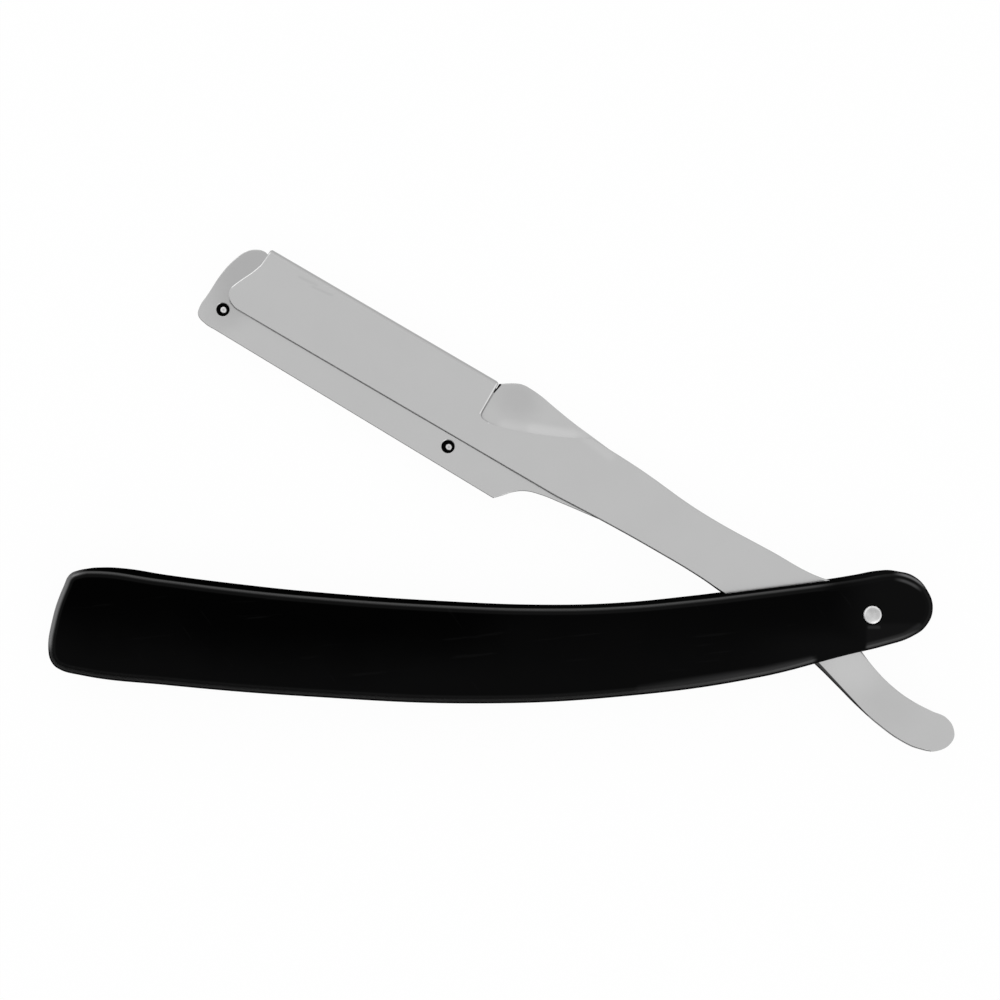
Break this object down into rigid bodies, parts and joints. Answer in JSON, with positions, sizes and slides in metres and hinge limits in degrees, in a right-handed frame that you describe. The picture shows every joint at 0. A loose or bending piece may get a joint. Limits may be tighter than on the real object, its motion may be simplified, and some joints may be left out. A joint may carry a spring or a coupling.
{
  "type": "folding shaving razor",
  "caption": "Folding barber razor with a black plastic handle and two pivoted steel plates that clamp one half of a snapped double-edged blade along the head's lower edge.",
  "frame": {"origin": "middle of the whole razor's box in X and Y, on the surface that its handle rests on", "axes": "+X along the handle towards its pivot end, +Y towards the raised holder, +Z out of the handle's front face"},
  "size_m": [0.1354, 0.0754, 0.0082],
  "materials": {
    "handle_plastic": "moulded black plastic, semi-gloss with faint handling marks",
    "plate_steel": "satin stainless sheet, edges rolled over by stamping",
    "pin_steel": "bright domed studs",
    "rivet_steel": "bright low-domed rivet head",
    "washer_steel": "plain steel"
  },
  "bodies": {
    "handle": {"handle_front": "handle_plastic", "handle_rear": "handle_plastic", "pivot_rivet": "rivet_steel", "rivet_collar": "rivet_steel", "washer_front": "washer_steel", "washer_rear": "washer_steel"},
    "seat_arm": {"seat_plate": "plate_steel", "blade_pin_nose": "pin_steel", "blade_pin_heel": "pin_steel"},
    "clamp_arm": {"clamp_plate": "plate_steel"}
  },
  "joints": [
    {"name": "arm_fold", "type": "hinge", "parent": "handle", "child": "seat_arm", "pos_m": [0.05495, -0.01703, 0.004], "axis": [0, 0, 1], "range_deg": [-270, 28]},
    {"name": "clamp_swing", "type": "hinge", "parent": "seat_arm", "child": "clamp_arm", "pos_m": [0.05495, -0.01703, 0.004], "axis": [0, 0, 1], "range_deg": [-25, 0]}
  ]
}
